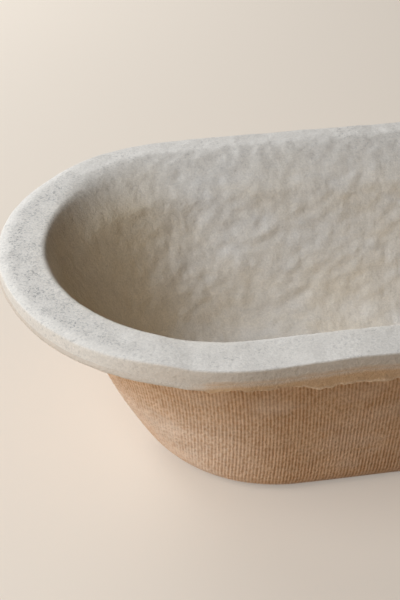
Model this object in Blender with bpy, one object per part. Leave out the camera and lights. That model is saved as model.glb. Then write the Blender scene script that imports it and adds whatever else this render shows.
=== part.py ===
"""Long oval proofing basket moulded from wood pulp, in metres, +Z up.

The origin is the middle of the resting face and +X runs along the basket.
Every level of the basket is a long oval: two half circles joined by straight sides.
"""

import math

import bmesh
import bpy

MM = 0.001

# Overall size, over the rim
BASKET_LENGTH = 330 * MM
BASKET_WIDTH = 164 * MM
BASKET_HEIGHT = 86 * MM

# Foot: the wall's outline where it would reach the table, and the rounding that cuts it back
FOOT_LENGTH = 213.5 * MM
FOOT_WIDTH = 97.7 * MM
FOOT_ROUNDING_HEIGHT = 10 * MM
FOOT_ROUNDING_DEPTH = 4.4 * MM

# Plies of the moulding, from the ribbed outside to the smooth inside
SHELL_THICKNESS = 4.2 * MM
LINING_THICKNESS = 3.8 * MM
PLY_GAP = 0.3 * MM
SHELL_FLOOR_ROUNDING = 9 * MM
LINING_FLOOR_ROUNDING = 17 * MM

# Ribs that the forming wire leaves outside. The real ones are 1.45 mm apart, and these coarser ones stand for them.
RIB_PITCH = 7 * MM
RIB_DEPTH = 0.5 * MM
RIB_FADE = 6 * MM
# The ribs stand nearly upright on the long sides and spread towards the ends by this power
RIB_FAN = 3

# Rim: a thick collar that stands out past the wall and rounds over into the inside
RIM_OVERHANG = 14.7 * MM
RIM_SIDE_HEIGHT = 7.1 * MM
RIM_FLAT = 4 * MM
RIM_CREASE_ROUNDING = 1.2 * MM
RIM_SHOULDER_DROP = 11.5 * MM
RIM_COVE = 5 * MM
RIM_NECK = 1.5 * MM

# Torn fringe of thin pulp left hanging under the rim's outer edge
FRINGE_DEPTH = 2.9 * MM
FRINGE_THICKNESS = 1.5 * MM
FRINGE_TORN_THICKNESS = 0.7 * MM
FRINGE_SETBACK = 0.4 * MM
FRINGE_CURL = 0.6 * MM
# Each wave of the torn edge: waves round the rim, share of the depth, start as a share of a wave
FRINGE_WAVES = ((3, 0.26, 0.30), (11, 0.20, 0.15), (29, 0.13, 0.60))

# Facets of each half circle, and of the torn edge, which needs more
ARC_STEPS = 32
FRINGE_ARC_STEPS = 50
FRINGE_SIDE_STEPS = 30
CORNER_STEPS = 6
WALL_STEPS = 4
FOOT_FALL_OFF = 2.2
SHARP_ANGLE = math.radians(40)
RIB_SHARP_ANGLE = math.radians(14)
WELD = 0.01 * MM

# Colours are linear
SHELL_COLOUR = (0.402, 0.258, 0.152, 1)
LINING_COLOUR = (0.520, 0.482, 0.414, 1)
RIM_COLOUR = (0.552, 0.536, 0.490, 1)
FRINGE_COLOUR = (0.445, 0.318, 0.213, 1)
PULP_ROUGHNESS = 0.95

# Levels and radii that follow from the sizes above
RIM_RADIUS = BASKET_WIDTH / 2
RIM_END_CENTRE = (BASKET_LENGTH - BASKET_WIDTH) / 2
RIM_UNDERSIDE = BASKET_HEIGHT - RIM_SIDE_HEIGHT
SHOULDER_FOOT = BASKET_HEIGHT - RIM_SHOULDER_DROP
RIM_SEAT = min(SHOULDER_FOOT, RIM_UNDERSIDE - RIM_COVE) - RIM_NECK
WALL_THICKNESS = SHELL_THICKNESS + PLY_GAP + LINING_THICKNESS
WALL_TOP_RADIUS = RIM_RADIUS - RIM_OVERHANG
FOOT_RADIUS = FOOT_WIDTH / 2
FOOT_END_CENTRE = (FOOT_LENGTH - FOOT_WIDTH) / 2
WALL_LEAN = math.atan2(WALL_TOP_RADIUS - FOOT_RADIUS, RIM_UNDERSIDE)


def wall_radius(height, depth=0.0):
    """Radius of the leaning wall at a height, a depth of pulp in from its outer face."""
    spread = WALL_TOP_RADIUS - FOOT_RADIUS
    return FOOT_RADIUS + spread * height / RIM_UNDERSIDE - depth / math.cos(WALL_LEAN)


def end_centre(height):
    """Distance from the middle of the basket to the centres of its round ends."""
    share = min(height / RIM_UNDERSIDE, 1.0)
    return FOOT_END_CENTRE + (RIM_END_CENTRE - FOOT_END_CENTRE) * share


def outline_quarter(height):
    """Length of a quarter of the wall's outline, from the middle of a long side to the tip of an end."""
    return end_centre(height) + math.pi / 2 * wall_radius(height)


# A ridge and a groove for each rib, at the pitch that they have half way up the wall
RIB_STEPS = 2 * round(outline_quarter(RIM_UNDERSIDE / 2) / RIB_PITCH)


def bent_line(start, corner, end, steps=CORNER_STEPS):
    """Points of the parabola that runs from start to end and is drawn towards the corner."""
    points = []
    for step in range(steps + 1):
        t = step / steps
        weights = ((1 - t) ** 2, 2 * t * (1 - t), t**2)
        radius, height = (sum(w * p for w, p in zip(weights, axis)) for axis in zip(start, corner, end))
        points.append((radius, height))
    return points


def soft_corner(before, corner, after, reach, steps=CORNER_STEPS):
    """Points of a rounded corner that leaves each side at the given reach from the corner."""
    ends = []
    for other in (before, after):
        share = reach / math.dist(corner, other)
        ends.append([c + (o - c) * share for c, o in zip(corner, other)])
    return bent_line(ends[0], corner, ends[1], steps)


def wall_line(depth, low, high):
    """Points up the wall after its lowest one, a depth of pulp in from its outer face."""
    heights = (low + (high - low) * step / WALL_STEPS for step in range(1, WALL_STEPS + 1))
    return [(wall_radius(height, depth), height) for height in heights]


def floor_corner(depth, rounding):
    """Points of the inside corner between the wall and the floor, wall side first."""
    corner = (wall_radius(depth, depth), depth)
    up_the_wall = (wall_radius(RIM_SEAT, depth), RIM_SEAT)
    along_the_floor = (0.0, depth)
    return soft_corner(up_the_wall, corner, along_the_floor, rounding)


def rib_places(radius, height, groove):
    """Points round one long oval, by turns on a ridge and in the groove beside it."""
    centre = end_centre(height)
    foot_quarter = outline_quarter(0.0)
    growth = outline_quarter(height) - foot_quarter
    quarter = []
    for step in range(RIB_STEPS + 1):
        share = step / RIB_STEPS
        run = foot_quarter * share + growth * share**RIB_FAN
        turn = max(run - centre, 0.0) / wall_radius(height)
        reach = radius - groove * (step % 2)
        quarter.append((min(run, centre) + reach * math.sin(turn), reach * math.cos(turn)))
    places = []
    for end, side in ((1, -1), (1, 1), (-1, 1), (-1, -1)):
        outwards = end * side < 0
        for x, y in quarter[:-1] if outwards else quarter[:0:-1]:
            places.append((end * x, side * y, height))
    return places


def oval_places(radius, height, arc_steps=ARC_STEPS, side_steps=1):
    """Points round one long oval, from the start of the +X end's half circle."""
    centre = end_centre(height)
    places = []
    for end in (1, -1):
        for step in range(arc_steps + 1):
            angle = math.pi * (step / arc_steps - 0.5)
            places.append((end * (centre + radius * math.cos(angle)), end * radius * math.sin(angle), height))
        for step in range(1, side_steps):
            places.append((end * centre * (1 - 2 * step / side_steps), end * radius, height))
    return places


def first_ring(bm, places):
    """Closed loop of vertices and edges through the places."""
    ring = [bm.verts.new(place) for place in places]
    for vertex, following in zip(ring, ring[1:] + ring[:1]):
        bm.edges.new((vertex, following))
    return ring


def ring_edges(ring):
    """Edges of a ring, between each vertex and the one after it."""
    following = ring[1:] + ring[:1]
    return [next(e for e in a.link_edges if e.other_vert(a) is b) for a, b in zip(ring, following)]


def extruded_ring(bm, ring, places):
    """Next ring of a wall, extruded from the last one and moved to the places."""
    made = set(bmesh.ops.extrude_edge_only(bm, edges=ring_edges(ring))["geom"])
    following = []
    for vertex, place in zip(ring, places):
        twin = next(e.other_vert(vertex) for e in vertex.link_edges if e.other_vert(vertex) in made)
        twin.co = place
        following.append(twin)
    return following


def oval_wall(rows, closed):
    """Mesh swept through rings of places.

    A closed wall joins its last ring to its first, and an open one gets a flat floor at each end.
    """
    bm = bmesh.new()
    if closed:
        rows = rows + rows[:1]
    start = ring = first_ring(bm, rows[0])
    for places in rows[1:]:
        ring = extruded_ring(bm, ring, places)
    if closed:
        bmesh.ops.remove_doubles(bm, verts=bm.verts, dist=WELD)
    else:
        for floor in (start, ring):
            bmesh.ops.edgeloop_fill(bm, edges=ring_edges(floor))
    bmesh.ops.recalc_face_normals(bm, faces=bm.faces)
    return bm


def pulp(name, colour):
    """Matt moulded pulp of one colour."""
    material = bpy.data.materials.new(name)
    material.use_nodes = True
    shader = material.node_tree.nodes["Principled BSDF"]
    shader.inputs["Base Color"].default_value = colour
    shader.inputs["Roughness"].default_value = PULP_ROUGHNESS
    shader.inputs["Metallic"].default_value = 0.0
    return material


def finish(name, bm, colour, sharp_angle=SHARP_ANGLE):
    """Object of the given name made from a finished mesh."""
    mesh = bpy.data.meshes.new(name)
    bm.to_mesh(mesh)
    bm.free()
    mesh.materials.append(pulp(name + "_pulp", colour))
    mesh.shade_smooth()
    mesh.set_sharp_from_angle(angle=sharp_angle)
    obj = bpy.data.objects.new(name, mesh)
    bpy.context.scene.collection.objects.link(obj)
    return obj


def ribbed_shell():
    """Outer ply: the floor and wall that were formed on the wire, with ribs that die out below the rim."""
    outside = []
    for step in range(CORNER_STEPS + 1):
        height = FOOT_ROUNDING_HEIGHT * step / CORNER_STEPS
        cut_back = FOOT_ROUNDING_DEPTH * (1 - step / CORNER_STEPS) ** FOOT_FALL_OFF
        outside.append((wall_radius(height) - cut_back, height))
    outside += wall_line(0.0, FOOT_ROUNDING_HEIGHT, RIM_SEAT - RIB_FADE)
    corner = floor_corner(SHELL_THICKNESS, SHELL_FLOOR_ROUNDING)
    inside = wall_line(SHELL_THICKNESS, corner[0][1], RIM_SEAT)[::-1] + corner
    smooth = [(wall_radius(RIM_SEAT), RIM_SEAT)] + inside
    rows = [rib_places(*point, RIB_DEPTH) for point in outside]
    rows += [rib_places(*point, 0.0) for point in smooth]
    return finish("ribbed_shell", oval_wall(rows, closed=False), SHELL_COLOUR, RIB_SHARP_ANGLE)


def inner_lining():
    """Inner ply: the smooth floor and wall that the dough lies against."""
    outer_depth = SHELL_THICKNESS + PLY_GAP
    outside = floor_corner(outer_depth, SHELL_FLOOR_ROUNDING)[::-1]
    top = [(wall_radius(RIM_SEAT, depth), RIM_SEAT) for depth in (outer_depth, WALL_THICKNESS)]
    inside = floor_corner(WALL_THICKNESS, LINING_FLOOR_ROUNDING)
    rows = [oval_places(*point) for point in outside + top + inside]
    return finish("inner_lining", oval_wall(rows, closed=False), LINING_COLOUR)


def rim_collar():
    """Thick rim seated on the top edges of both plies."""
    seat = RIM_SEAT + PLY_GAP
    inside_foot = (wall_radius(SHOULDER_FOOT, WALL_THICKNESS), SHOULDER_FOOT)
    inside_corner = (wall_radius(BASKET_HEIGHT, WALL_THICKNESS), BASKET_HEIGHT)
    flat_start = (RIM_RADIUS - RIM_FLAT, BASKET_HEIGHT)
    crease = (RIM_RADIUS, BASKET_HEIGHT)
    side_foot = (RIM_RADIUS, RIM_UNDERSIDE)
    cove_corner = (WALL_TOP_RADIUS, RIM_UNDERSIDE)
    neck = (wall_radius(seat), seat)
    profile = [(wall_radius(seat, WALL_THICKNESS), seat)]
    profile += bent_line(inside_foot, inside_corner, flat_start, 2 * CORNER_STEPS)
    profile += soft_corner(flat_start, crease, side_foot, RIM_CREASE_ROUNDING, CORNER_STEPS // 2)
    profile.append(side_foot)
    profile += soft_corner(side_foot, cove_corner, neck, RIM_COVE)
    profile.append(neck)
    return finish("rim_collar", oval_wall([oval_places(*point) for point in profile], closed=True), RIM_COLOUR)


def torn_fringe():
    """Thin ragged strip of pulp that hangs from the rim's lower edge and curls in."""
    top = RIM_UNDERSIDE - PLY_GAP
    outer = RIM_RADIUS - FRINGE_SETBACK
    torn_outer = outer - FRINGE_CURL
    # Radius of each ring of the section, and whether the ring hangs
    section = ((outer, False), (torn_outer, True), (torn_outer - FRINGE_TORN_THICKNESS, True))
    section += ((outer - FRINGE_THICKNESS, False),)

    def ragged(turn):
        waves = (share * math.sin(2 * math.pi * (count * turn + start)) for count, share, start in FRINGE_WAVES)
        return FRINGE_DEPTH * (1.0 + sum(waves))

    rows = []
    for radius, hangs in section:
        places = oval_places(radius, top, FRINGE_ARC_STEPS, FRINGE_SIDE_STEPS)
        rows.append([(x, y, z - hangs * ragged(turn / len(places))) for turn, (x, y, z) in enumerate(places)])
    return finish("torn_fringe", oval_wall(rows, closed=True), FRINGE_COLOUR)


def main():
    for obj in list(bpy.data.objects):
        bpy.data.objects.remove(obj, do_unlink=True)
    for make in (ribbed_shell, inner_lining, rim_collar, torn_fringe):
        make()


main()
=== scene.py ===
"""Looks of a long oval proofing basket of moulded wood pulp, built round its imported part."""

import math

import bmesh
import bpy
from bpy.props import FloatProperty, FloatVectorProperty, IntProperty, PointerProperty
from mathutils import Matrix, Vector, noise


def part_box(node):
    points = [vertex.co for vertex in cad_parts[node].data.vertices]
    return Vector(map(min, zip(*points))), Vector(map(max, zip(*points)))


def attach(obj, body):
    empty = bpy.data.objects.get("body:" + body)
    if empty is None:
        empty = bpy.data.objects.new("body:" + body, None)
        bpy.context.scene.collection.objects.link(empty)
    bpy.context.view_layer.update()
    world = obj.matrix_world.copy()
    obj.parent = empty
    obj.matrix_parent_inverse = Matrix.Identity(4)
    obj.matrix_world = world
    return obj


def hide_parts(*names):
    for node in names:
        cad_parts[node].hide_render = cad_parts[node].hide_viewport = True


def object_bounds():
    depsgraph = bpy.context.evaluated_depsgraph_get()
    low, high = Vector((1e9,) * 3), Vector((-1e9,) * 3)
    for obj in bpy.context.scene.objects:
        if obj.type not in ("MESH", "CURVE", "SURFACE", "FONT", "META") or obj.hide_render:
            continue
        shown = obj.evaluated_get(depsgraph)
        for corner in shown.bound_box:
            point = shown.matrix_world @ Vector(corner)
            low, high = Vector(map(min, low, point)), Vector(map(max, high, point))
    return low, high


bl_info = {
    "name": "Proofing basket",
    "version": (1, 0, 0),
    "blender": (4, 5, 0),
    "location": "3D View > Sidebar > Basket",
    "description": "Builds the pulp faces, the torn edge and the studio of a long oval proofing basket",
    "category": "Object",
}

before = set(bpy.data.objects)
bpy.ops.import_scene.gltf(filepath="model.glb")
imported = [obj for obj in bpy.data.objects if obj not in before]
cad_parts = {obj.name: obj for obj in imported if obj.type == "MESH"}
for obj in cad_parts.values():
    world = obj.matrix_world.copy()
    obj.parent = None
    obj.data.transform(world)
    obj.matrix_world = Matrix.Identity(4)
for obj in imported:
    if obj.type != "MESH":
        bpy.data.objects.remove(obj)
CAD_LOW, CAD_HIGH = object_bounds()

MM = 0.001

# The CAD keeps this clearance between the fringe and the rim's underside
BOND_GAP = 0.3 * MM
FRINGE_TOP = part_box("torn_fringe")[1].z

# Points closer than this are one point
WELD = 0.002 * MM

# How deep each column of a rib lies: the ridge, its flank, the groove and the next flank
RIB_COLUMNS = (0.0, 0.30, 1.0, 0.30)

# The ribs spread by this share from the foot to the rim, and most of it near the rim
RIB_SPREAD = 0.10
RIB_SPREAD_POWER = 2.2

# Past this turn of a round end the ribs bend to meet those of the other side
RIB_BEND = math.radians(68)

# Share of their depth that the ribs have under the base, and how the rows crowd at the foot
BASE_RIB_DEPTH = 0.55
FOOT_ROW_POWER = 1.8

# The ribs fade out below the rim from this height, a little lower at the ends, and over this run
RIB_FADE = 72 * MM
RIB_FADE_END_DROP = 3 * MM
RIB_FADE_RUN = 4 * MM

# Share by which the ribs fade at the tips of the ends, and the most that a groove deepens by chance
TIP_CALM = 0.65
GROOVE_MOST = 1.3

# How worn the ribbed face is at the foot and low on the ends
FOOT_WEAR = 0.55
END_WEAR = 0.8

# How many of the cells of the pulp hold a dark bit of bark
SHIVE_SHARE = 0.05

# Soft lights: their width, how far off they stand and what they face
LIGHT_SIZE = 0.5
LIGHT_DISTANCE = 0.9
LIGHT_AIM = Vector((-0.04, 0.0, 0.06))

# Where they stand: bearing from +X and angle above the floor, in degrees
BACK_LIGHT = (114, 22)
FRONT_LIGHT = (203, 40)

# The round floor, and how far it lies under the basket
FLOOR_RADIUS = 6.0
FLOOR_GAP = 0.05 * MM

# The pebbles of the felt face are drawn out along a slant
SLANT = Matrix.Diagonal((0.62, 1.0, 1.0)) @ Matrix.Rotation(math.radians(30), 3, "Y")

# Spacing of the felt face's lumps
PEBBLES = 4.2 * MM
FINE_PEBBLES = 2.3 * MM
WAVES = 25 * MM
RIPPLES = 10 * MM

# The felt face is calmer by these shares inside the ends and on the rim's top, and takes painted warm shade
# inside the ends
END_CALM = 0.6
RIM_CALM = 0.75
END_SHADE = 0.6

# Soft ramps, from start to end. Across the basket: to the near side, and away from the tips of the ends
NEAR_RAMP = (-10 * MM, 10 * MM)
TIP_RAMP = (2 * MM, 16 * MM)

# Along the basket, from its middle towards the ends
RIM_END_RAMP = (112 * MM, 145 * MM)
INSIDE_END_RAMP = (80 * MM, 115 * MM)
END_SHADE_RAMP = (70 * MM, 115 * MM)
OUTSIDE_END_RAMP = (60 * MM, 105 * MM)
SAG_RAMP = (88 * MM, 112 * MM)
SAG_END_RAMP = (148 * MM, 163 * MM)

# Up the ribbed wall
WAIST_RAMP = (24 * MM, 56 * MM)
FOOT_WEAR_RAMP = (0.0, 9 * MM)
END_WEAR_RAMP = (20 * MM, 62 * MM)

# Drop of the torn ply over which the rim's side above it turns tan, partly the pulp's own tone and partly
# painted warm bounce light
TAN_RAMP = (0.3 * MM, 1.6 * MM)

# Distance over which the floor takes on the backdrop's colour
GLOW_RAMP = (0.4, 1.6)

# Curl of the rim's lower edge: out from the rim's edge and up from its lower face, in mm
CURL = ((0.0, 0.5), (-0.2, 0.0), (-0.8, -0.1), (-1.4, 0.2), (-1.5, 1.7))

# Lower edge of the torn ply on the near side: place along the basket and drop below the rim, in mm
TORN_NEAR = (
    (-116, 0.1), (-105, 0.8), (-100, 1.6), (-90, 1.5), (-83, 2.9), (-76, 1.6), (-70, 2.7), (-64, 5.0),
    (-60, 4.0), (-53, 3.4), (-44, 3.9), (-35, 3.7), (10, 3.4), (45, 4.6), (90, 3.0), (140, 1.2),
)
# The same on the far side
TORN_FAR = ((-140, 0.1), (-110, 1.8), (-60, 3.4), (-10, 2.2), (40, 4.0), (85, 2.6), (120, 3.2), (150, 1.0))

# Rise of the rim's edge on the near side: place along the basket and height, in mm
RIM_NEAR = (
    (-150, 0.2), (-118, 0.5), (-105, -0.6), (-78, -0.5), (-64, 0.0), (-50, 0.4), (-20, -0.1), (20, -0.4),
    (60, 0.3), (110, -0.2), (150, 0.2),
)


def srgb(red, green, blue):
    """Linear colour of an 8-bit display colour."""
    return [((c / 255 + 0.055) / 1.055) ** 2.4 for c in (red, green, blue)]


def number(name, description, default, **options):
    """Setting for a number."""
    return FloatProperty(name=name, description=description, default=default, min=0.0, **options)


def length(name, description, default):
    """Setting for a length in metres."""
    return number(name, description, default, unit="LENGTH", precision=5)


def colour(name, description, *display):
    """Setting for a colour, given as it looks on a display."""
    return FloatVectorProperty(
        name=name, description=description, default=srgb(*display), size=3, min=0.0, max=1.0, subtype="COLOR"
    )


def angle(name, description, degrees):
    """Setting for an angle."""
    return FloatProperty(name=name, description=description, default=math.radians(degrees), subtype="ANGLE")


def power(name, description, watts):
    """Setting for a lamp's power."""
    return number(name, description, watts, unit="POWER")


def count(name, description, default):
    """Setting for a whole number."""
    return IntProperty(name=name, description=description, default=default, min=3)


class BasketSizes(bpy.types.PropertyGroup):
    """Sizes of the pulp faces"""

    rim_radius: length("Rim radius", "Radius of the rim's round ends", CAD_HIGH.y)
    rim_end_centre: length("Rim end centre", "From the middle to its end centres", CAD_HIGH.x - CAD_HIGH.y)
    rim_top: length("Rim top", "Height of the rim", CAD_HIGH.z)
    rim_underside: length("Rim underside", "Height of the rim's lower face", FRINGE_TOP + BOND_GAP)
    rim_overhang: length("Rim overhang", "How far the rim stands out past the wall", 14.7 * MM)
    rim_flat: length("Rim flat", "Width of the level band along the rim's edge", 9 * MM)
    rim_crease: length("Rim crease", "Rounding of the rim's upper edge", 0.6 * MM)
    inner_edge: length("Inner edge", "From the rim's edge to the inner edge of its top", 18 * MM)
    inner_rounding: length("Inner rounding", "Rounding of the inner edge where it is crisp", 2.4 * MM)
    roll_depth: length("Roll depth", "How far the inner edge is pressed down on the far side", 1.7 * MM)
    shoulder_drop: length("Shoulder drop", "Height over which the rim rolls into the inside", 14 * MM)
    lip_width: length("Lip width", "Width of the rounded lip along the edge of the ends", 5.5 * MM)
    lip_drop: length("Lip drop", "How far the lip rounds down", 1.0 * MM)
    cove: length("Cove", "Rounding between the wall and the rim's lower face", 5 * MM)
    end_bulge: length("End bulge", "How far the lower wall of the ends swells out", 1.4 * MM)
    end_waist: length("End waist", "How far the upper wall of the ends draws in", 1.9 * MM)
    foot_radius: length("Foot radius", "Radius of the wall's ends at table level", 48.85 * MM)
    foot_end_centre: length("Foot end centre", "From the middle to the centre of the foot's ends", 57.9 * MM)
    foot_rounding_height: length("Foot rounding height", "Height of the rounding at the foot", 10 * MM)
    foot_rounding_depth: length("Foot rounding depth", "How far it cuts the foot back", 4.4 * MM)
    base_edge: length("Base edge", "Rounding of the base's edge", 0.8 * MM)
    wall_thickness: length("Wall thickness", "From the ribbed face to the felt face", 8.3 * MM)
    wire_ply: length("Wire ply", "Thickness of the ribbed ply", 3.0 * MM)
    floor_rounding: length("Floor rounding", "Reach of the rounding between wall and floor", 17 * MM)
    back_rounding: length("Back rounding", "The same, between the plies", 9 * MM)
    rib_depth: length("Rib depth", "Depth of the grooves left by the forming wire", 0.24 * MM)
    pebble_depth: length("Pebble depth", "Height of the felt face's small pebbles", 0.62 * MM)
    wave_depth: length("Wave depth", "Height of the felt face's slow waves", 0.95 * MM)
    rim_sag: length("Rim sag", "How far its lower edge hangs at the near left corner", 1.3 * MM)
    rim_warp: length("Rim warp", "How far the rim's edge wanders", 0.4 * MM)
    torn_proud: length("Torn ply", "How far the torn ply stands proud of the rim's side", 0.16 * MM)


class BasketColours(bpy.types.PropertyGroup):
    """Colours of the pulp"""

    felt_cool: colour("Felt, cool", "Grey patches of the felt face", 228, 220, 208)
    felt_warm: colour("Felt, warm", "Beige patches of the felt face", 228, 215, 195)
    # felt_brown is painted warm shade on the inside of the ends
    felt_brown: colour("Felt, brown", "Inside of the ends, stained by use", 221, 198, 159)
    rim_pale: colour("Rim", "Top of the rim", 224, 214, 199)
    mottle: colour("Mottle", "Grey specks on the rim", 138, 133, 126)
    # side_grey is painted shade on the rim's upright side, below the pale top
    side_grey: colour("Rim side", "Upper part of the rim's side", 212, 197, 178)
    # side_tan is partly the pulp's own tone and partly painted warm bounce light
    side_tan: colour("Rim side, low", "Lower part of the rim's side", 211, 172, 131)
    # Ridge and groove: their tan is partly the outer pulp's own warmer tone and partly painted warm bounce
    # light
    ridge: colour("Ridge", "Ridges of the ribbed face", 234, 198, 162)
    # The groove colour is darker than the ridge by painted shade in the grooves
    groove: colour("Groove", "Grooves of the ribbed face", 198, 152, 111)
    worn: colour("Worn", "Rubbed and thinly settled places of the ribbed face", 243, 220, 198)
    # The torn_edge colour is a painted highlight along the torn ply's curled lower edge
    torn_edge: colour("Torn edge", "Thin edge of the torn ply", 241, 213, 181)
    shive: colour("Shive", "Dark bits of bark in the pulp", 92, 74, 58)


class BasketStudio(bpy.types.PropertyGroup):
    """Camera, light and floor"""

    camera_place: FloatVectorProperty(
        name="Camera",
        description="Where the camera stands",
        default=(-0.1963, -0.5018, 0.4039),
        subtype="TRANSLATION",
    )
    camera_turn: angle("Camera turn", "Turn of the camera from looking along the basket's width", -12.10)
    camera_tilt: angle("Camera tilt", "How far the camera looks down", 33.81)
    camera_roll: angle("Camera roll", "Turn of the picture", 1.03)
    camera_lens: FloatProperty(name="Lens", description="Focal length", default=96.0, min=1.0, unit="CAMERA")
    floor: colour("Floor", "Colour of the floor", 225, 208, 186)
    backdrop: colour("Backdrop", "Colour behind the floor", 230, 221, 210)
    floor_glow: number("Floor glow", "Share of the backdrop's colour in the floor near the basket", 0.4)
    ambient: number("Ambient", "Strength of the light from all round", 0.05)
    ambient_tint: colour("Ambient tint", "Colour of the light from all round", 255, 208, 148)
    light_tint: colour("Light tint", "Colour of the soft lights", 228, 238, 252)
    back_power: power("Back light", "Power of the low light behind", 7.4)
    front_power: power("Front light", "Power of the light in front", 8.2)
    floor_sides: count("Floor sides", "Sides of the round floor", 96)


class BasketForm:
    """Levels and outlines of the basket that follow from its sizes."""

    def __init__(self, sizes):
        self.sizes = sizes
        self.wall_top_radius = sizes.rim_radius - sizes.rim_overhang
        self.spread = self.wall_top_radius - sizes.foot_radius
        self.lean = math.atan2(self.spread, sizes.rim_underside)
        self.shoulder_foot = sizes.rim_top - sizes.shoulder_drop

    def level(self, height):
        """Height as a share of the wall's, from 0 at the foot to 1 at the rim."""
        return min(max(height / self.sizes.rim_underside, 0.0), 1.0)

    def end_centre(self, height):
        """From the middle of the basket to the centres of its round ends."""
        foot = self.sizes.foot_end_centre
        return foot + (self.sizes.rim_end_centre - foot) * self.level(height)

    def wall_radius(self, height, depth=0.0):
        """Radius of the leaning wall at a height, a depth of pulp in from its outer face."""
        outer = self.sizes.foot_radius + self.spread * height / self.sizes.rim_underside
        return outer - depth / math.cos(self.lean)

    def wall_point(self, height, depth=0.0):
        """Point of the wall's profile at a height, a depth in from its outer face."""
        return (self.wall_radius(height, depth), height)

    def away(self, place):
        """Level line to a place from the nearest point of the spine between the end centres."""
        past = max(abs(place.x) - self.end_centre(place.z), 0.0)
        return Vector((math.copysign(past, place.x), place.y, 0.0))

    def wall_line(self, depth, low, high, steps):
        """Points up the wall, a depth in from its outer face."""
        heights = [low + (high - low) * step / steps for step in range(steps + 1)]
        return [self.wall_point(height, depth) for height in heights]

    def floor_line(self, depth, rounding, floor_steps, corner_steps):
        """Points from the middle of the floor round the corner to the wall, at a depth."""
        middle = (WELD / 4, depth)
        wall_top = self.wall_point(self.shoulder_foot, depth)
        rounded = soft_corner(middle, self.wall_point(depth, depth), wall_top, rounding, corner_steps)
        return straight(middle, rounded[0], floor_steps) + rounded

    def foot_cut(self, height):
        """How far the rounding at the foot cuts the wall back, with a tighter one at the base's edge."""
        sizes = self.sizes
        rounding = sizes.foot_rounding_depth * max(1 - height / sizes.foot_rounding_height, 0.0) ** 2.2
        return rounding + sizes.base_edge * max(1 - height / sizes.base_edge, 0.0) ** 2

    def rib_quarter(self, height):
        """Length along a quarter of the wall's outline in which the ribs are counted."""
        turn = (math.pi / 2 + RIB_BEND) / 2
        return self.end_centre(height) + turn * self.rib_radius(height)

    def rib_radius(self, height):
        """Radius of the wall on which the ribs are counted at a height, up to the rim's lower face."""
        return self.wall_radius(self.sizes.rim_underside * self.level(height))

    def rib_run(self, start, height):
        """How far along the outline a rib lies at a height, for its start along the foot's outline."""
        return start * (1 + RIB_SPREAD * self.level(height) ** RIB_SPREAD_POWER)

    def rib_foot(self, start):
        """Height at which a rib starts: the base, or further up the tip of a round end."""
        low, high = 0.0, self.sizes.rim_underside
        if start <= self.rib_quarter(low):
            return low
        while high - low > WELD / 10:
            middle = (low + high) / 2
            if self.rib_run(start, middle) > self.rib_quarter(middle):
                low = middle
            else:
                high = middle
        return high

    def on_outline(self, run, radius, height):
        """Place on the long oval of a radius and height, so far along a quarter of it."""
        centre = self.end_centre(height)
        turn = max(run - centre, 0.0) / self.rib_radius(height)
        if turn > RIB_BEND:
            room = math.pi / 2 - RIB_BEND
            turn = RIB_BEND + room * (1 - math.sqrt(max(1 - 2 * (turn - RIB_BEND) / room, 0.0)))
        return Vector((min(run, centre) + radius * math.sin(turn), radius * math.cos(turn), height))


def straight(start, end, steps):
    """Points of a straight line."""
    return [tuple(a + (b - a) * step / steps for a, b in zip(start, end)) for step in range(steps + 1)]


def bent_line(start, corner, end, steps):
    """Points of the parabola that runs from start to end and is drawn towards the corner."""
    points = []
    for step in range(steps + 1):
        t = step / steps
        weights = ((1 - t) ** 2, 2 * t * (1 - t), t**2)
        points.append(tuple(sum(w * p for w, p in zip(weights, axis)) for axis in zip(start, corner, end)))
    return points


def soft_corner(before, corner, after, reach, steps):
    """Points of a rounded corner that leaves each side at the given reach from the corner."""
    ends = []
    for other in (before, after):
        share = reach / math.dist(corner, other)
        ends.append([c + (o - c) * share for c, o in zip(corner, other)])
    return bent_line(ends[0], corner, ends[1], steps)


def section(points, **weights):
    """Rows of a profile: each point with its weights, where a pair goes from its first to its second."""
    pairs = {name: w if isinstance(w, tuple) else (w, w) for name, w in weights.items()}
    rows = []
    for step, point in enumerate(points):
        share = step / max(len(points) - 1, 1)
        rows.append((point, {name: a + (b - a) * share for name, (a, b) in pairs.items()}))
    return rows


def smooth_step(value, low, high):
    """Soft ramp from 0 at low to 1 at high."""
    share = min(max((value - low) / (high - low), 0.0), 1.0)
    return share * share * (3 - 2 * share)


def lumps(point, spacing, seed=0):
    """Smooth noise, from about -1 to 1, with lumps of the given spacing."""
    return noise.noise(point / spacing + Vector((seed * 7.3, seed * 3.1, seed * 5.7)))


def read_along(points, along):
    """Value at a place, eased between points given as places and values."""
    value = points[0][1] if along < points[0][0] else points[-1][1]
    for (start, before), (end, after) in zip(points, points[1:]):
        if start <= along < end:
            value = before + (after - before) * smooth_step(along, start, end)
    return value


def near_share(place):
    """Soft step from 0 on the far side to 1 on the near side."""
    return smooth_step(-place.y, *NEAR_RAMP)


def end_share(place):
    """Soft step from 0 along the sides to 1 at the tips of the ends."""
    return smooth_step(abs(place.x), *RIM_END_RAMP)


def torn_drop(place):
    """How far the torn ply hangs below the rim at a place, without its raggedness."""
    near, far = (read_along(points, place.x / MM) for points in (TORN_NEAR, TORN_FAR))
    return (far + (near - far) * near_share(place)) * MM


def mirror_quarter(bm):
    """Makes the whole basket from a quarter that ends on both upright middle planes."""
    for axis in ("X", "Y"):
        whole = bm.verts[:] + bm.edges[:] + bm.faces[:]
        bmesh.ops.mirror(bm, geom=whole, matrix=Matrix.Identity(4), merge_dist=WELD, axis=axis)
    bmesh.ops.remove_doubles(bm, verts=bm.verts, dist=WELD)
    bmesh.ops.recalc_face_normals(bm, faces=bm.faces)
    bm.normal_update()


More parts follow.
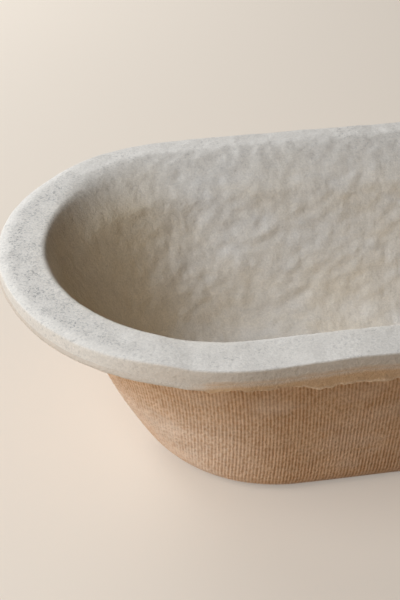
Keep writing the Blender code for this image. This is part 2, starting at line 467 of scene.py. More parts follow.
def turned_oval(form, rows, names, arc_columns, side_columns, closed=False):
    """Sheet of pulp swept round the long oval from a profile.

    A quarter is made and mirrored: the profile is turned through a right angle about an end centre and
    drawn out along half of a long side, in so many columns each. The rows' weights go into vertex layers of
    the given names.
    """
    bm = bmesh.new()
    layers = {name: bm.verts.layers.float.new(name) for name in names}
    profile = []
    for point, weights in rows:
        if profile and math.dist(profile[-1].co.xz, point) < WELD:
            continue
        vertex = bm.verts.new((point[0], 0.0, point[1]))
        for name, weight in weights.items():
            vertex[layers[name]] = weight
        profile.append(vertex)
    edges = [bm.edges.new(pair) for pair in zip(profile, profile[1:])]
    if closed:
        edges.append(bm.edges.new((profile[-1], profile[0])))

    middle = Vector((0.0, 0.0, 0.0))
    turned = bmesh.ops.spin(
        bm, geom=profile + edges, cent=middle, axis=(0, 0, 1), angle=math.pi / 2, steps=arc_columns
    )
    for vertex in bm.verts:
        vertex.co.x = form.end_centre(vertex.co.z) + max(vertex.co.x, 0.0)
    last = [item for item in turned["geom_last"] if isinstance(item, bmesh.types.BMEdge)]
    drawn = bmesh.ops.extrude_edge_only(bm, edges=last)["geom"]
    for vertex in (item for item in drawn if isinstance(item, bmesh.types.BMVert)):
        vertex.co.x = 0.0
    sides = [edge for edge in bm.edges if (edge.verts[0].co.x == 0.0) != (edge.verts[1].co.x == 0.0)]
    bmesh.ops.subdivide_edges(bm, edges=sides, cuts=side_columns - 1)
    mirror_quarter(bm)
    return bm


def rim_wander(sizes, point):
    """How far the rim's edge wanders up or down, and in or out, at a place."""
    flat = point.xy.to_3d()
    near = near_share(point)
    rise = read_along(RIM_NEAR, point.x / MM) * MM * near
    warp = lumps(flat, spacing=62 * MM, seed=1) * (1 - near) + 0.6 * lumps(flat, spacing=17 * MM, seed=2)
    rise += sizes.rim_warp * (warp + 0.4 * lumps(flat, spacing=5 * MM, seed=15))
    return rise, sizes.rim_warp * lumps(flat, spacing=34 * MM, seed=3)


def up_rim(sizes, place):
    """Share of the rim's height at a place, from 0 at its lower face to 1 at its top."""
    share = (place.z - sizes.rim_underside) / (sizes.rim_top - sizes.rim_underside)
    return min(max(share, 0.0), 1.0)


def rim_sag(sizes, place):
    """How far the rim's side hangs lower at a place: most at its lower edge, round the near left corner."""
    along = smooth_step(-place.x, *SAG_RAMP) * (1 - smooth_step(-place.x, *SAG_END_RAMP))
    return sizes.rim_sag * near_share(place) * along * (1 - up_rim(sizes, place))


def add_object(name, bm, material):
    """Object made from a finished mesh."""
    mesh = bpy.data.meshes.new(name)
    bm.to_mesh(mesh)
    bm.free()
    mesh.materials.append(material)
    obj = bpy.data.objects.new(name, mesh)
    bpy.context.scene.collection.objects.link(obj)
    return obj


def add_piece(name, bm, material, nodes):
    """Smooth object that rides on the part and stands for its CAD nodes."""
    piece = add_object(name, bm, material)
    piece.data.shade_smooth()
    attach(piece, "root")
    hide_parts(*nodes)


def opaque(tint):
    """Colour setting with its alpha. A socket stays as it is."""
    return tint if isinstance(tint, bpy.types.NodeSocket) else (*tint, 1.0)


class Graph:
    """Node tree that takes its nodes with their links in one call."""

    def __init__(self, tree):
        self.tree = tree
        tree.nodes.clear()

    def add(self, kind, inputs=None, **settings):
        """New node, with each input linked to a socket or set to a value."""
        node = self.tree.nodes.new(kind)
        for name, value in settings.items():
            setattr(node, name, value)
        for name, source in (inputs or {}).items():
            if isinstance(source, bpy.types.NodeSocket):
                self.tree.links.new(source, node.inputs[name])
            else:
                node.inputs[name].default_value = source
        return node

    def math(self, operation, first, second=0.0, clamp=True):
        """Sum, product or the like of two values, kept between 0 and 1 unless clamp is off."""
        node = self.add("ShaderNodeMath", {0: first, 1: second}, operation=operation, use_clamp=clamp)
        return node.outputs[0]

    def spread(self, value, low, high, new_low=0.0, new_high=1.0):
        """Value spread from one range to another."""
        inputs = {"Value": value, "From Min": low, "From Max": high, "To Min": new_low, "To Max": new_high}
        return self.add("ShaderNodeMapRange", inputs, clamp=True).outputs[0]

    def mix(self, factor, first, second, blend="MIX"):
        """Colour between two colours."""
        inputs = {0: factor, 6: opaque(first), 7: opaque(second)}
        return self.add("ShaderNodeMix", inputs, data_type="RGBA", blend_type=blend).outputs[2]

    def noise(self, vector, scale, **inputs):
        """Soft noise."""
        return self.add("ShaderNodeTexNoise", {"Vector": vector, "Scale": scale, **inputs}).outputs["Fac"]

    def mapping(self, vector, **inputs):
        """Coordinates moved, turned or stretched."""
        return self.add("ShaderNodeMapping", {"Vector": vector, **inputs}).outputs[0]

    def weights(self, *names):
        """Weights kept on the piece's vertices."""
        return [self.add("ShaderNodeAttribute", attribute_name=name).outputs["Fac"] for name in names]


def shared_effect(graph, build, place, scale):
    """Outputs of an effect's node group, which is built when it is first used. Scale is per metre."""
    tree = bpy.data.node_groups.get(build.__name__)
    if tree is None:
        tree = bpy.data.node_groups.new(build.__name__, "ShaderNodeTree")
        inside = Graph(tree)
        tree.interface.new_socket("Vector", in_out="INPUT", socket_type="NodeSocketVector")
        tree.interface.new_socket("Scale", in_out="INPUT", socket_type="NodeSocketFloat")
        given = inside.add("NodeGroupInput").outputs
        results = build(inside, given["Vector"], given["Scale"])
        for name in results:
            tree.interface.new_socket(name, in_out="OUTPUT", socket_type="NodeSocketFloat")
        inside.add("NodeGroupOutput", results)
    return graph.add("ShaderNodeGroup", {"Vector": place, "Scale": scale}, node_tree=tree).outputs


def pulp_fibres(graph, place, scale):
    """Short matted fibres."""
    fine = graph.noise(place, scale, Detail=4.0, Roughness=0.7)
    strands = []
    for turn in ((0.5, 0.3, 0.6), (-0.7, 0.5, -0.9)):
        drawn = graph.mapping(place, Rotation=turn, Scale=(0.22, 1.0, 0.8))
        swirl = graph.noise(drawn, scale, Distortion=0.6)
        distance = graph.math("ABSOLUTE", graph.math("SUBTRACT", swirl, 0.5, clamp=False))
        strands.append(graph.spread(distance, 0.0, 0.09, 1.0, 0.0))
    strand = graph.math("MAXIMUM", *strands)
    base = graph.spread(fine, 0.25, 0.75, 0.0, 0.75)
    return {"Shade": graph.math("ADD", base, graph.math("MULTIPLY", strand, 0.25))}


def pulp_clouds(graph, place, scale):
    """Slow warm and cool, dark and light patches where the fibre settled unevenly."""
    drawn = graph.mapping(place, Rotation=(0.0, 0.55, 0.2), Scale=(0.6, 1.0, 1.15))
    warmth = graph.noise(drawn, scale, Detail=3.0, Roughness=0.6)
    moved = graph.mapping(drawn, Location=(3.7, 1.9, 8.2), Scale=(2.6, 2.6, 2.6))
    value = graph.noise(moved, scale, Detail=4.0, Roughness=0.6)
    return {"Warmth": graph.spread(warmth, 0.32, 0.68), "Value": graph.spread(value, 0.3, 0.7)}


def pulp_shives(graph, place, scale):
    """Sparse dark bits of bark."""
    drawn = graph.mapping(place, Rotation=(0.4, 0.9, 0.5), Scale=(0.4, 1.0, 1.0))
    cells = graph.add("ShaderNodeTexVoronoi", {"Vector": drawn, "Scale": scale})
    draw = graph.add("ShaderNodeSeparateColor", {"Color": cells.outputs["Color"]}).outputs
    held = graph.math("LESS_THAN", draw[0], SHIVE_SHARE)
    reach = graph.spread(draw[1], 0.0, 1.0, 0.03, 0.06)
    near = graph.math("LESS_THAN", cells.outputs["Distance"], reach)
    return {"Mask": graph.math("MULTIPLY", held, near)}


def pulp_shader(name):
    """New material with its graph, its place coordinates and a matt shader."""
    material = bpy.data.materials.new(name)
    material.use_nodes = True
    graph = Graph(material.node_tree)
    shader = graph.add("ShaderNodeBsdfPrincipled", {"Metallic": 0.0, "Specular IOR Level": 0.18})
    graph.add("ShaderNodeOutputMaterial", {"Surface": shader.outputs[0]})
    place = graph.add("ShaderNodeTexCoord").outputs["Object"]
    return material, graph, shader, place


def dress(graph, shader, tint, rough, height, depth):
    """Links colour, roughness and relief to a shader."""
    bump = graph.add("ShaderNodeBump", {"Height": height, "Distance": depth, "Strength": 0.7})
    graph.tree.links.new(tint, shader.inputs["Base Color"])
    graph.tree.links.new(graph.spread(rough, 0.0, 1.0, 1.0, 0.88), shader.inputs["Roughness"])
    graph.tree.links.new(bump.outputs[0], shader.inputs["Normal"])


def side_tint(graph, colours, clouds, upper, tan):
    """Colour of the rim's side, from the upper colour to the tan of its lower part, which is partly the
    pulp's own tone and partly painted warm bounce light.
    """
    uneven = graph.math("ADD", tan, graph.spread(clouds["Value"], 0.0, 1.0, -0.2, 0.2))
    share = graph.math("MULTIPLY", uneven, graph.spread(tan, 0.0, 0.2))
    return graph.mix(share, upper, colours.side_tan)


def shaded(graph, tint, amount, low, high):
    """Colour made darker or lighter by an amount that is spread from low to high."""
    grey = graph.spread(amount, 0.0, 1.0, low, high)
    greys = graph.add("ShaderNodeCombineColor", {channel: grey for channel in range(3)}).outputs[0]
    return graph.mix(1.0, tint, greys, "MULTIPLY")


def felt_pulp(colours):
    """Pale, softly pebbled pulp of the inside and the rim."""
    material, graph, shader, place = pulp_shader("felt_pulp")
    fibres = shared_effect(graph, pulp_fibres, place, 650.0)["Shade"]
    clouds = shared_effect(graph, pulp_clouds, place, 48.0)
    shives = shared_effect(graph, pulp_shives, place, 95.0)["Mask"]
    rim, side, tan, pits, end_shade = graph.weights("rim", "side", "tan", "pits", "end_shade")

    tint = graph.mix(clouds["Warmth"], colours.felt_cool, colours.felt_warm)
    # Painted warm shade inside the ends
    tint = graph.mix(end_shade, tint, colours.felt_brown)
    tint = graph.mix(rim, tint, colours.rim_pale)
    patches = graph.spread(graph.noise(place, 70.0), 0.36, 0.6)
    dots = graph.spread(graph.noise(place, 780.0, Detail=3.0, Roughness=0.6), 0.54, 0.66)
    dots = graph.math("MULTIPLY", dots, patches)
    mottle = graph.math("MULTIPLY", dots, graph.spread(rim, 0.2, 1.0, 0.05, 0.36))
    specks = graph.spread(graph.noise(place, 1050.0, Detail=3.0, Roughness=0.75), 0.5, 0.66, 0.14, 1.0)
    flocks = graph.spread(graph.noise(place, 150.0), 0.35, 0.6, 0.45, 1.0)
    specks = graph.math("MULTIPLY", specks, flocks)
    pitted = graph.math("MULTIPLY", specks, graph.math("MULTIPLY", pits, 0.95))
    tint = graph.mix(graph.math("MAXIMUM", mottle, pitted), tint, colours.mottle)
    grain = graph.spread(graph.noise(place, 1300.0, Roughness=0.6), 0.3, 0.7)
    # Painted shade on the rim's side
    tint = graph.mix(side, tint, colours.side_grey)
    tint = side_tint(graph, colours, clouds, tint, tan)
    tint = shaded(graph, tint, fibres, 0.93, 1.05)
    tint = shaded(graph, tint, grain, 0.94, 1.05)
    tint = shaded(graph, tint, clouds["Value"], 0.96, 1.03)
    tint = graph.mix(shives, tint, colours.shive)

    pebbles = graph.noise(place, 330.0, Roughness=0.55)
    height = graph.math("ADD", graph.math("MULTIPLY", fibres, 0.45), graph.math("MULTIPLY", pebbles, 0.55))
    on_top = graph.math("SUBTRACT", rim, side)
    height = graph.math("MULTIPLY", height, graph.spread(on_top, 0.0, 1.0, 1.0, 0.75))
    dress(graph, shader, tint, fibres, height, 0.5 * MM)
    return material


def ribbed_pulp(colours):
    """Tan pulp of the outside, with painted shade in the grooves between its ribs; the tan is partly the
    pulp's own tone and partly painted warm bounce light.
    """
    material, graph, shader, place = pulp_shader("ribbed_pulp")
    fibres = shared_effect(graph, pulp_fibres, place, 800.0)["Shade"]
    clouds = shared_effect(graph, pulp_clouds, place, 40.0)
    shives = shared_effect(graph, pulp_shives, place, 80.0)["Mask"]
    groove, worn = graph.weights("groove", "worn")

    beads = graph.spread(graph.noise(place, 680.0, Detail=1.0), 0.33, 0.67)
    # Painted shade in the grooves, broken up by the beads
    deep = graph.math("ADD", groove, graph.spread(beads, 0.0, 1.0, 0.32, -0.32))
    tint = graph.mix(deep, colours.ridge, colours.groove)
    rubbed = graph.math("MULTIPLY", worn, graph.spread(beads, 0.0, 1.0, 0.4, 1.0))
    thin = graph.spread(clouds["Warmth"], 0.5, 1.0, 0.0, 0.4)
    tint = graph.mix(graph.math("ADD", rubbed, thin), tint, colours.worn)
    tint = shaded(graph, tint, fibres, 0.86, 1.08)
    tint = shaded(graph, tint, clouds["Value"], 0.93, 1.05)
    tint = graph.mix(shives, tint, colours.shive)

    height = graph.math("ADD", graph.math("MULTIPLY", fibres, 0.4), graph.math("MULTIPLY", beads, 0.6))
    dress(graph, shader, tint, fibres, height, 0.45 * MM)
    return material


def torn_pulp(colours):
    """Tan pulp of the torn ply with a painted highlight along its lower edge; the tan is partly the pulp's
    own tone and partly painted warm bounce light.
    """
    material, graph, shader, place = pulp_shader("torn_pulp")
    fibres = shared_effect(graph, pulp_fibres, place, 800.0)["Shade"]
    clouds = shared_effect(graph, pulp_clouds, place, 48.0)
    tan, tear = graph.weights("tan", "tear")

    # The torn ply's upper part takes the rim side's painted shade
    tint = side_tint(graph, colours, clouds, colours.side_grey, tan)
    # Painted highlight along the torn edge, broken up by the fibres
    thin = graph.math("ADD", graph.spread(tear, 0.8, 1.0), graph.spread(fibres, 0.0, 1.0, -0.4, 0.3))
    torn = graph.math("MULTIPLY", thin, graph.spread(tear, 0.75, 0.9))
    tint = graph.mix(torn, tint, colours.torn_edge)
    tint = shaded(graph, tint, fibres, 0.93, 1.05)
    tint = shaded(graph, tint, clouds["Value"], 0.96, 1.03)
    dress(graph, shader, tint, fibres, fibres, 0.4 * MM)
    return material


class BASKET_OT_felt_face(bpy.types.Operator):
    """Make the smooth pale face that runs from the floor up the inside and over the rim"""

    bl_idname = "basket.felt_face"
    bl_label = "Felt face"

    # The tan here is partly the pulp's own tone and partly painted warm bounce light
    tan_height: length("Tan height", "Height on the rim's side at which it turns tan", 3.6 * MM)
    arc_columns: count("Arc columns", "Columns on a quarter turn of an end", 100)
    side_columns: count("Side columns", "Columns on half of a long side", 66)

    def inside_rows(self, form):
        """Rows from the floor up the wall, and over the inner edge of the rim's top to its flat.

        They follow the soft roll-over of the far side. The weights out and up lead from there to the crisp
        edge of the near side and the ends.
        """
        sizes = form.sizes
        depth, top = sizes.wall_thickness, sizes.rim_top
        floor = form.floor_line(depth, sizes.floor_rounding, 14, 18)
        wall = form.wall_line(depth, floor[-1][1], form.shoulder_foot, 34)
        crisp = (sizes.rim_radius - sizes.inner_edge, top)
        lean = (crisp[0] - form.wall_radius(top, depth)) / (top - wall[0][1])
        out = lean * (form.shoulder_foot - wall[0][1])
        rows = section(floor, relief=1) + section(wall, relief=1, out=(0, out))

        roll_start = form.wall_point(form.shoulder_foot, depth)
        roll_end = (sizes.rim_radius - sizes.rim_flat, top)
        edge_start = (roll_start[0] + out, roll_start[1])
        corner = soft_corner(edge_start, crisp, roll_end, sizes.inner_rounding, 8)
        edge = straight(edge_start, corner[0], 6) + corner[1:] + straight(corner[-1], roll_end, 6)[1:]
        roll = bent_line(roll_start, (crisp[0], top - sizes.roll_depth), roll_end, len(edge) - 1)
        for (point, weights), place in zip(section(roll, relief=(1, 0.7), rim=(0, 1), edge=(0, 1)), edge):
            rows.append((point, {**weights, "out": place[0] - point[0], "up": place[1] - point[1]}))
        return rows

    def profile(self, form):
        """Rows from the floor over the rim to its lower edge, and back between the plies."""
        sizes = form.sizes
        back = sizes.wire_ply + BOND_GAP
        radius, top, under = sizes.rim_radius, sizes.rim_top, sizes.rim_underside
        flat_start = (radius - sizes.rim_flat, top)
        tan_start = (radius, under + self.tan_height)
        crease = soft_corner(flat_start, (radius, top), (radius, under), sizes.rim_crease, 6)
        curl = [(radius + out * MM, under + up * MM) for out, up in CURL]
        neck = [(form.wall_top_radius, under + 2 * MM), form.wall_point(form.shoulder_foot, back)]

        rows = self.inside_rows(form)
        rows += section(straight(flat_start, crease[0], 6), relief=(0.7, 0.2), rim=1, edge=1)
        rows += section(crease, relief=0.2, rim=1, edge=1, side=(0, 0.8))
        rows += section(straight(crease[-1], tan_start, 3), relief=0.2, rim=1, edge=1, side=(0.8, 1))
        # tan: painted warm bounce light, with some of the pulp's own tone, low on the rim's side
        rows += section(straight(tan_start, curl[0], 4), relief=0.2, rim=1, edge=1, side=1, tan=(0, 1))
        rows += section(curl, relief=(0.2, 0), rim=1, edge=1, side=1, tan=1)
        return rows + section(neck + form.floor_line(back, sizes.back_rounding, 4, 4)[::-1])

    def lip(self, form, place, radius):
        """Share of the lip's drop at a place: it rounds off the edge of the ends."""
        sizes = form.sizes
        share = max(1 - (sizes.rim_radius - radius) / sizes.lip_width, 0.0) ** 2
        return share * up_rim(sizes, place) * end_share(place)

    def set_edges(self, form, bm):
        """Draws the roll-over out to a crisp edge along the near side and the ends, and rounds the lip."""
        names = ("out", "up", "lip", "relief", "rim")
        out, up, lip, relief, rim = (bm.verts.layers.float[name] for name in names)
        for vertex in bm.verts:
            away = form.away(vertex.co)
            crisp = max(near_share(vertex.co), end_share(vertex.co))
            vertex[lip] = self.lip(form, vertex.co, away.length)
            vertex.co += away.normalized() * vertex[out] * crisp
            vertex.co.z += vertex[up] * crisp - form.sizes.lip_drop * vertex[lip]
            vertex[relief] *= 1 - RIM_CALM * crisp * min(2 * vertex[rim], 1.0)
        bm.normal_update()

    def execute(self, context):
        sizes = context.scene.basket_sizes
        form = BasketForm(sizes)
        names = ("relief", "rim", "side", "tan", "edge", "pits", "end_shade", "lip")
        rows = self.profile(form)
        bm = turned_oval(form, rows, (*names, "out", "up"), self.arc_columns, self.side_columns)
        self.set_edges(form, bm)
        relief, rim, side, tan, edge, pits, end_shade, lip = (bm.verts.layers.float[name] for name in names)
        for vertex in bm.verts:
            place = vertex.co.copy()
            away = form.away(place)
            rise, swell = rim_wander(sizes, place)
            slanted = SLANT @ place
            pebbles = lumps(slanted, PEBBLES) + 0.5 * lumps(place, FINE_PEBBLES, seed=4)
            waves = 0.6 * lumps(slanted, WAVES, seed=5) + 0.4 * lumps(slanted, RIPPLES, seed=6)
            raised = sizes.pebble_depth * pebbles + sizes.wave_depth * waves * (1 - vertex[edge])
            lumpy = vertex[relief] * (1 - END_CALM * smooth_step(abs(place.x), *INSIDE_END_RAMP))
            vertex.co += vertex.normal * lumpy * raised
            vertex.co += away.normalized() * swell * vertex[edge]
            vertex.co.z += (rise - rim_sag(sizes, place)) * vertex[edge]
            # The painted warm bounce light (tan) shows only where the torn ply hangs below
            vertex[tan] *= smooth_step(torn_drop(place), *TAN_RAMP)
            # The painted shade on the rim's side fades out at the ends
            vertex[side] *= 1 - 0.8 * end_share(place)
            # Painted warm shade inside the ends, off the rim, growing towards the tips
            vertex[end_shade] = END_SHADE * (1 - vertex[rim]) * smooth_step(abs(place.x), *END_SHADE_RAMP)
            vertex[pits] = vertex[rim] * end_share(place) * (1 - min(4 * vertex[lip], 1.0))
        material = felt_pulp(context.scene.basket_colours)
        add_piece("felt_face", bm, material, ("inner_lining", "rim_collar"))
        return {"FINISHED"}


class BASKET_OT_wire_face(bpy.types.Operator):
    """Make the tan outside, ribbed by the wire that the pulp was formed on"""

    bl_idname = "basket.wire_face"
    bl_label = "Wire face"

    quarter_ribs: count("Ribs", "Ribs on a quarter of the basket", 120)
    base_rows: count("Base rows", "Rows of the base", 4)
    foot_rows: count("Foot rows", "Rows of the foot's rounding", 9)
    wall_rows: count("Wall rows", "Rows of the wall above it", 20)
    cove_rows: count("Cove rows", "Rows of the rounding under the rim", 6)

    def rows(self, form):
        """Rows of the draped sheet, each as its stretch, its place there and its share of rib depth.

        They run from the middle of the base to its edge, up the wall to the rim's lower face, and back
        between the plies. Also gives the height at which the wall goes over into the cove.
        """
        sizes = form.sizes
        under, ply = sizes.rim_underside, sizes.wire_ply
        lower_edge = (sizes.rim_radius - 1.6 * MM, under)
        neck = form.shoulder_foot - sizes.cove
        corner = (form.wall_top_radius, under)
        cove = soft_corner(form.wall_point(neck), corner, lower_edge, sizes.cove, self.cove_rows)
        wall_top = cove[0][1]
        foot_top = sizes.foot_rounding_height
        foot = [foot_top * (step / self.foot_rows) ** FOOT_ROW_POWER for step in range(self.foot_rows)]
        wall = [height for (height,) in straight((foot_top,), (wall_top,), self.wall_rows)]
        hidden = straight(cove[-1], lower_edge, 2)[1:]
        hidden += [(lower_edge[0], under + 1.0 * MM), (form.wall_top_radius, under + 1.5 * MM)]
        hidden += [form.wall_point(form.shoulder_foot, ply)]
        hidden += form.floor_line(ply, sizes.back_rounding, 1, 2)[:0:-1]

        rows = [("base", step / self.base_rows, BASE_RIB_DEPTH) for step in range(self.base_rows)]
        rows += [("wall", height / wall_top, 1.0) for height in foot + wall]
        rows += [("rim", point, 1 - step / self.cove_rows) for step, point in enumerate(cove)][1:]
        rows += [("rim", point, 0.0) for point in hidden] + [("floor", hidden[-1], 0.0)]
        return rows, wall_top

    def drape(self, form, wall_top, share, stretch, place):
        """Place of a column of the sheet, given as its share of the ribs, in a row."""
        start = share * form.rib_quarter(wall_top) / form.rib_run(1.0, wall_top)
        foot = form.rib_foot(start) if share < 1.0 else wall_top
        if stretch in ("rim", "floor"):
            radius, height = place
            run = share * form.rib_quarter(height)
        else:
            height = foot + (wall_top - foot) * place if stretch == "wall" else foot
            radius = form.wall_radius(height) - form.foot_cut(height)
            run = form.rib_run(start, height)
        spot = form.on_outline(run, radius, height)
        if stretch == "base":
            spot.y *= place
        on_tip = share == 1.0 or (foot > 0.0 and height == foot)
        if on_tip or stretch == "floor":
            spot.y = 0.0
        return spot

    def execute(self, context):
        sizes = context.scene.basket_sizes
        form = BasketForm(sizes)
        rows, wall_top = self.rows(form)
        columns = self.quarter_ribs * len(RIB_COLUMNS)
        bm = bmesh.new()
        rib, groove, worn = (bm.verts.layers.float.new(name) for name in ("rib", "groove", "worn"))
        bmesh.ops.create_grid(bm, x_segments=columns, y_segments=len(rows) - 1, size=0.5)
        for vertex in bm.verts:
            column = round((vertex.co.x + 0.5) * columns)
            stretch, place, depth = rows[round((vertex.co.y + 0.5) * (len(rows) - 1))]
            vertex.co = self.drape(form, wall_top, column / columns, stretch, place)
            vertex[rib] = 1.0 if stretch == "base" else depth
            vertex[groove] = depth * RIB_COLUMNS[column % len(RIB_COLUMNS)]
        mirror_quarter(bm)
        for vertex in bm.verts:
            place = vertex.co.copy()
            fade_from = RIB_FADE - RIB_FADE_END_DROP * end_share(place)
            weight = 1 - smooth_step(place.z, fade_from, fade_from + RIB_FADE_RUN)
            weight *= 1 - TIP_CALM * end_share(place) * (1 - smooth_step(abs(place.y), *TIP_RAMP))
            uneven = lumps(place, spacing=13 * MM, seed=8) + lumps(place, spacing=4 * MM, seed=9)
            vertex[groove] *= weight * min(1 + 0.4 * uneven, GROOVE_MOST)
            waves = 0.15 * sizes.wave_depth * (1 + lumps(place, spacing=24 * MM, seed=10)) * vertex[rib]
            vertex.co -= vertex.normal * (sizes.rib_depth * vertex[groove] + waves * (place.z > WELD))
            at_end = smooth_step(abs(place.x), *OUTSIDE_END_RAMP)
            bulge = sizes.end_bulge * math.sin(math.pi * form.level(place.z) ** 0.6)
            bulge -= sizes.end_waist * smooth_step(place.z, *WAIST_RAMP)
            vertex.co += form.away(place).normalized() * bulge * vertex[rib] * at_end
            foot = FOOT_WEAR * (1 - smooth_step(place.z, *FOOT_WEAR_RAMP))
            vertex[worn] = max(foot, END_WEAR * at_end * (1 - smooth_step(place.z, *END_WEAR_RAMP)))
        material = ribbed_pulp(context.scene.basket_colours)
        add_piece("wire_face", bm, material, ("ribbed_shell",))
        return {"FINISHED"}


class BASKET_OT_torn_edge(bpy.types.Operator):
    """Make the thin torn ply that hangs below the rim's outer edge"""

    bl_idname = "basket.torn_edge"
    bl_label = "Torn edge"

    arc_columns: count("Arc columns", "Columns on a quarter turn of an end", 210)
    side_columns: count("Side columns", "Columns on half of a long side", 140)

    def profile(self, sizes):
        """Closed section, with how far each point follows the torn edge down."""
        radius, under, proud = sizes.rim_radius, sizes.rim_underside, sizes.torn_proud
        outside = [(radius - 0.25 * MM, under + 3.2 * MM), (radius + 0.1 * proud, under + 1.6 * MM)]
        outside += [(radius + 0.8 * proud, under + 0.7 * MM), (radius + proud, under)]
        rows = section(outside, tear=(0, 0.5), tan=(0.1, 1))
        for hang, stand in ((0.25, 1.0), (0.5, 0.95), (0.75, 0.8), (0.92, 0.5)):
            place = (radius + stand * proud, under - hang * MM)
            rows += section([place], hang=hang, tear=0.5 + hang / 2, tan=1)
        rows += section([(radius - 0.12 * MM, under - 1.0 * MM)], hang=1, tear=1, tan=1)
        for hang, inset in ((0.95, 0.38), (0.6, 0.7), (0.25, 0.9)):
            rows += section([(radius - inset * MM, under - hang * MM)], hang=hang, tear=0.6, tan=1)
        return rows + section([(radius - 1.0 * MM, under + 0.6 * MM)], tear=0.5, tan=1)

    def drop(self, place):
        """How far the torn edge hangs below the rim at a place."""
        drop = torn_drop(place) / MM
        flat = place.xy.to_3d()
        ragged = 1.8 * (abs(lumps(flat, spacing=5.5 * MM, seed=11)) - 0.25)
        ragged += 0.6 * lumps(flat, spacing=2.1 * MM, seed=12)
        return max(drop + ragged * min(drop / 1.5, 1.0), 0.1) * MM

    def execute(self, context):
        sizes = context.scene.basket_sizes
        form = BasketForm(sizes)
        rows, names = self.profile(sizes), ("hang", "tear", "tan")
        bm = turned_oval(form, rows, names, self.arc_columns, self.side_columns, closed=True)
        hang, tan = (bm.verts.layers.float[name] for name in ("hang", "tan"))
        for vertex in bm.verts:
            place = vertex.co.copy()
            rise, swell = rim_wander(sizes, place)
            away = form.away(place).normalized()
            flat = place.xy.to_3d()
            crumple = 0.35 * lumps(flat, spacing=6 * MM, seed=13)
            crumple += 0.15 * lumps(flat, spacing=2 * MM, seed=14)
            vertex.co += away * (swell + crumple * MM * vertex[hang] ** 1.5)
            if vertex[hang] > 0:
                vertex.co.z = sizes.rim_underside - vertex[hang] * self.drop(place)
            vertex.co.z += rise * (1 - vertex[hang]) - rim_sag(sizes, place)
            # The painted warm bounce light (tan) shows only where the ply hangs below
            vertex[tan] *= smooth_step(torn_drop(place), *TAN_RAMP)
        material = torn_pulp(context.scene.basket_colours)
        add_piece("torn_edge", bm, material, ("torn_fringe",))
        return {"FINISHED"}


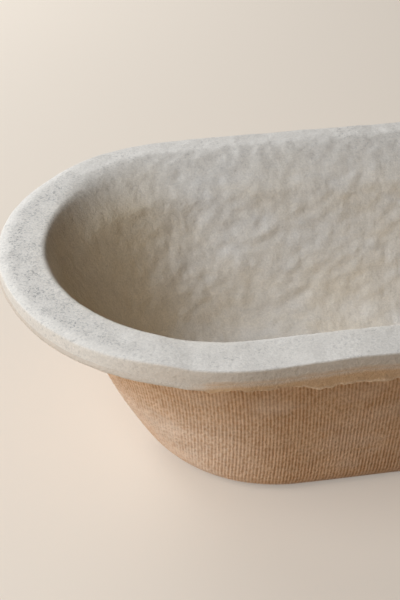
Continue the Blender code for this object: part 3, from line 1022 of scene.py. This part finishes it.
class BASKET_OT_studio(bpy.types.Operator):
    """Make the pale floor, the soft light and the camera"""

    bl_idname = "basket.studio"
    bl_label = "Studio"

    def floor(self, studio):
        """Large round floor just under the basket."""
        bm = bmesh.new()
        bmesh.ops.create_circle(bm, cap_ends=True, radius=FLOOR_RADIUS, segments=studio.floor_sides)
        bmesh.ops.translate(bm, verts=bm.verts, vec=(0, 0, CAD_LOW.z - FLOOR_GAP))
        floor = add_object("floor", bm, self.floor_paint(studio))

    def floor_paint(self, studio):
        """Paint that stays pale to the camera far from the lights, and still takes the basket's shadow."""
        material = bpy.data.materials.new("floor_paint")
        material.use_nodes = True
        graph = Graph(material.node_tree)
        inputs = {"Base Color": opaque(studio.floor), "Roughness": 0.9, "Specular IOR Level": 0.1}
        paint = graph.add("ShaderNodeBsdfPrincipled", inputs).outputs[0]
        glow = graph.add("ShaderNodeEmission", {"Color": opaque(studio.backdrop)}).outputs[0]
        place = graph.add("ShaderNodeTexCoord").outputs["Object"]
        distance = graph.add("ShaderNodeVectorMath", {0: place}, operation="LENGTH").outputs["Value"]
        share = graph.spread(distance, *GLOW_RAMP, studio.floor_glow, 1.0)
        seen = graph.math("MULTIPLY", self.seen_directly(graph), share)
        mixed = graph.add("ShaderNodeMixShader", {0: seen, 1: paint, 2: glow})
        graph.add("ShaderNodeOutputMaterial", {"Surface": mixed.outputs[0]})
        return material

    def seen_directly(self, graph):
        """Mask of what the camera sees, also in a mirror or through glass."""
        path = graph.add("ShaderNodeLightPath").outputs
        seen = graph.math("MAXIMUM", path["Is Camera Ray"], path["Is Glossy Ray"])
        return graph.math("MAXIMUM", seen, path["Is Transmission Ray"])

    def world(self, scene, studio):
        """Even light from all round, and a pale backdrop where the camera sees past the floor."""
        world = bpy.data.worlds.new("studio")
        world.use_nodes = True
        graph = Graph(world.node_tree)
        seen = self.seen_directly(graph)
        inputs = {"Color": opaque(studio.ambient_tint), "Strength": studio.ambient}
        light = graph.add("ShaderNodeBackground", inputs).outputs[0]
        inputs = {"Color": opaque(studio.backdrop), "Strength": 1.0}
        backdrop = graph.add("ShaderNodeBackground", inputs).outputs[0]
        mixed = graph.add("ShaderNodeMixShader", {0: seen, 1: light, 2: backdrop})
        graph.add("ShaderNodeOutputWorld", {"Surface": mixed.outputs[0]})
        scene.world = world

    def light(self, name, watts, tint, bearing, height):
        """Square soft light that faces the basket from a bearing and an angle above the floor."""
        lamp = bpy.data.lights.new(name, "AREA")
        lamp.energy = watts
        lamp.color = tint
        lamp.size = LIGHT_SIZE
        obj = bpy.data.objects.new(name, lamp)
        raised = Matrix.Rotation(math.radians(-height), 3, "Y") @ Vector((1, 0, 0))
        away = Matrix.Rotation(math.radians(bearing), 3, "Z") @ raised
        obj.location = LIGHT_AIM + away * LIGHT_DISTANCE
        obj.rotation_euler = away.to_track_quat("Z", "Y").to_euler()
        bpy.context.scene.collection.objects.link(obj)

    def camera(self, scene, studio):
        """Camera at the photograph's angle."""
        lens = bpy.data.cameras.new("camera")
        lens.lens = studio.camera_lens
        obj = bpy.data.objects.new("camera", lens)
        turn = Matrix.Rotation(studio.camera_turn, 4, "Z")
        tilt = Matrix.Rotation(math.pi / 2 - studio.camera_tilt, 4, "X")
        roll = Matrix.Rotation(studio.camera_roll, 4, "Z")
        obj.matrix_world = Matrix.Translation(studio.camera_place) @ turn @ tilt @ roll
        scene.collection.objects.link(obj)
        scene.camera = obj

    def execute(self, context):
        scene = context.scene
        studio = scene.basket_studio
        scene.view_settings.view_transform = "Standard"
        self.floor(studio)
        self.world(scene, studio)
        self.light("back_light", studio.back_power, studio.light_tint, *BACK_LIGHT)
        self.light("front_light", studio.front_power, studio.light_tint, *FRONT_LIGHT)
        self.camera(scene, studio)
        return {"FINISHED"}


OPERATORS = (BASKET_OT_felt_face, BASKET_OT_wire_face, BASKET_OT_torn_edge, BASKET_OT_studio)


class BASKET_PT_sidebar(bpy.types.Panel):
    """Panel that makes the basket's pieces and holds their settings"""

    bl_idname = "BASKET_PT_sidebar"
    bl_label = "Proofing basket"
    bl_space_type = "VIEW_3D"
    bl_region_type = "UI"
    bl_category = "Basket"

    def draw(self, context):
        scene = context.scene
        for operator in OPERATORS:
            self.layout.operator(operator.bl_idname)
        for settings in (scene.basket_sizes, scene.basket_colours, scene.basket_studio):
            box = self.layout.box()
            for name in settings.__annotations__:
                box.prop(settings, name)


SETTINGS = {"basket_sizes": BasketSizes, "basket_colours": BasketColours, "basket_studio": BasketStudio}
CLASSES = (*SETTINGS.values(), *OPERATORS, BASKET_PT_sidebar)


def register():
    for item in CLASSES:
        bpy.utils.register_class(item)
    for name, settings in SETTINGS.items():
        setattr(bpy.types.Scene, name, PointerProperty(type=settings))


def unregister():
    for name in SETTINGS:
        delattr(bpy.types.Scene, name)
    for item in reversed(CLASSES):
        bpy.utils.unregister_class(item)


def main():
    register()
    bpy.ops.basket.felt_face()
    bpy.ops.basket.wire_face()
    bpy.ops.basket.torn_edge()
    bpy.ops.basket.studio()


if __name__ == "__main__":
    main()
